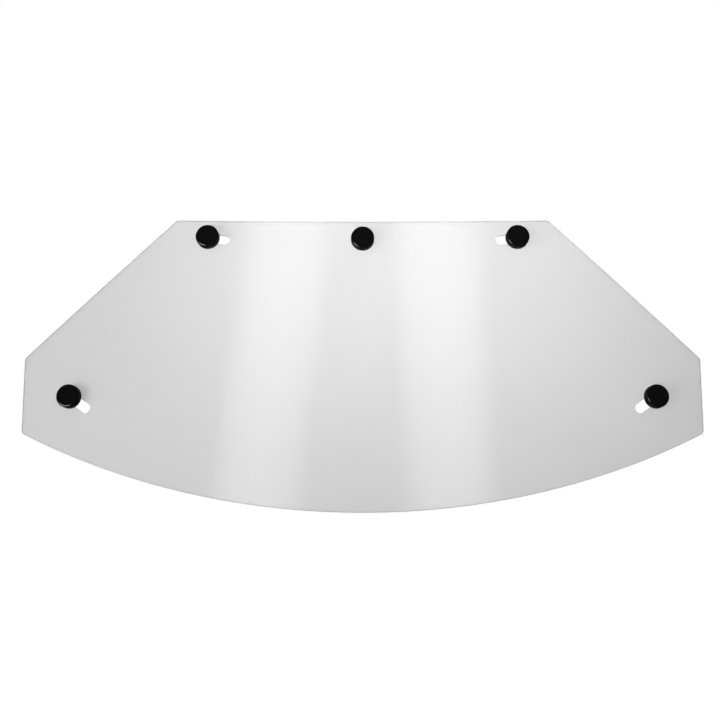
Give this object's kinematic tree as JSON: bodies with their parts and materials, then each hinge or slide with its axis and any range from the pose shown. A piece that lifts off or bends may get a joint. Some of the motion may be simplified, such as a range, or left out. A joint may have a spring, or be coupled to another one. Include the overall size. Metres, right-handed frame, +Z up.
{
  "type": "sneeze guard",
  "caption": "Gently bent clear food shield with chamfered top corners and an arched lower edge, held by clamping knobs in slots.",
  "frame": {"origin": "on the axis of the top centre stud, halfway along the plain pilot at its rear end, where a stand takes it", "axes": "+Z up the sheet, +X across it to the right as seen from the front, +Y from the front face to the rear, along the top centre stud"},
  "size_m": [0.7248, 0.0484, 0.3163],
  "materials": {
    "clear_sheet": "clear cast acrylic with polished edges, very slightly hazed",
    "knob_plastic": "black moulded plastic, satin gloss",
    "soft_washer": "black rubber, matte",
    "bright_steel": "bright zinc plated steel"
  },
  "bodies": {
    "panel": {"guard_panel": "clear_sheet", "top_center_rear_washer": "soft_washer", "top_center_flat_washer": "bright_steel", "top_center_nut": "bright_steel"},
    "top_left_carriage": {"top_left_rear_washer": "soft_washer", "top_left_flat_washer": "bright_steel", "top_left_nut": "bright_steel"},
    "top_left_clamp": {"top_left_front_washer": "soft_washer"},
    "top_left_screw": {"top_left_knob": "knob_plastic", "top_left_stud": "bright_steel"},
    "top_center_clamp": {"top_center_front_washer": "soft_washer"},
    "top_center_screw": {"top_center_knob": "knob_plastic", "top_center_stud": "bright_steel"},
    "top_right_carriage": {"top_right_rear_washer": "soft_washer", "top_right_flat_washer": "bright_steel", "top_right_nut": "bright_steel"},
    "top_right_clamp": {"top_right_front_washer": "soft_washer"},
    "top_right_screw": {"top_right_knob": "knob_plastic", "top_right_stud": "bright_steel"},
    "lower_left_carriage": {"lower_left_rear_washer": "soft_washer", "lower_left_flat_washer": "bright_steel", "lower_left_nut": "bright_steel"},
    "lower_left_clamp": {"lower_left_front_washer": "soft_washer"},
    "lower_left_screw": {"lower_left_knob": "knob_plastic", "lower_left_stud": "bright_steel"},
    "lower_right_carriage": {"lower_right_rear_washer": "soft_washer", "lower_right_flat_washer": "bright_steel", "lower_right_nut": "bright_steel"},
    "lower_right_clamp": {"lower_right_front_washer": "soft_washer"},
    "lower_right_screw": {"lower_right_knob": "knob_plastic", "lower_right_stud": "bright_steel"}
  },
  "joints": [
    {"name": "top_left_slot_slide", "type": "slide", "parent": "panel", "child": "top_left_carriage", "axis": [0.9914, -0.0662, -0.1132], "range_m": [0, 0.0178]},
    {"name": "top_left_clamp_travel", "type": "slide", "parent": "top_left_carriage", "child": "top_left_clamp", "axis": [-0.0666, -0.9978, 0], "range_m": [0, 0.005]},
    {"name": "top_left_knob_turn", "type": "hinge", "parent": "top_left_clamp", "child": "top_left_screw", "pos_m": [-0.1666, -0.00999, 0.0038], "axis": [-0.0666, -0.9978, 0], "range_deg": [0, 1440]},
    {"name": "top_center_clamp_travel", "type": "slide", "parent": "panel", "child": "top_center_clamp", "axis": [0, -1, 0], "range_m": [0, 0.005]},
    {"name": "top_center_knob_turn", "type": "hinge", "parent": "top_center_clamp", "child": "top_center_screw", "pos_m": [0, -0.01555, 0], "axis": [0, -1, 0], "range_deg": [0, 1440]},
    {"name": "top_right_slot_slide", "type": "slide", "parent": "panel", "child": "top_right_carriage", "axis": [-0.9914, -0.0662, -0.1132], "range_m": [0, 0.0178]},
    {"name": "top_right_clamp_travel", "type": "slide", "parent": "top_right_carriage", "child": "top_right_clamp", "axis": [0.0666, -0.9978, 0], "range_m": [0, 0.005]},
    {"name": "top_right_knob_turn", "type": "hinge", "parent": "top_right_clamp", "child": "top_right_screw", "pos_m": [0.1666, -0.00999, 0.0038], "axis": [0.0666, -0.9978, 0], "range_deg": [0, 1440]},
    {"name": "lower_left_slot_slide", "type": "slide", "parent": "panel", "child": "lower_left_carriage", "axis": [0.8079, -0.1004, -0.5807], "range_m": [0, 0.0203]},
    {"name": "lower_left_clamp_travel", "type": "slide", "parent": "lower_left_carriage", "child": "lower_left_clamp", "axis": [-0.1234, -0.9924, 0], "range_m": [0, 0.005]},
    {"name": "lower_left_knob_turn", "type": "hinge", "parent": "lower_left_clamp", "child": "lower_left_screw", "pos_m": [-0.3084, 0.00355, -0.1686], "axis": [-0.1234, -0.9924, 0], "range_deg": [0, 1440]},
    {"name": "lower_right_slot_slide", "type": "slide", "parent": "panel", "child": "lower_right_carriage", "axis": [-0.8079, -0.1004, -0.5807], "range_m": [0, 0.0203]},
    {"name": "lower_right_clamp_travel", "type": "slide", "parent": "lower_right_carriage", "child": "lower_right_clamp", "axis": [0.1234, -0.9924, 0], "range_m": [0, 0.005]},
    {"name": "lower_right_knob_turn", "type": "hinge", "parent": "lower_right_clamp", "child": "lower_right_screw", "pos_m": [0.3084, 0.00355, -0.1686], "axis": [0.1234, -0.9924, 0], "range_deg": [0, 1440]}
  ],
  "couplings": [
    {"joint": "top_left_clamp_travel", "follows": "top_left_knob_turn", "m_per_rad": 0.00019894},
    {"joint": "top_center_clamp_travel", "follows": "top_center_knob_turn", "m_per_rad": 0.00019894},
    {"joint": "top_right_clamp_travel", "follows": "top_right_knob_turn", "m_per_rad": 0.00019894},
    {"joint": "lower_left_clamp_travel", "follows": "lower_left_knob_turn", "m_per_rad": 0.00019894},
    {"joint": "lower_right_clamp_travel", "follows": "lower_right_knob_turn", "m_per_rad": 0.00019894}
  ]
}
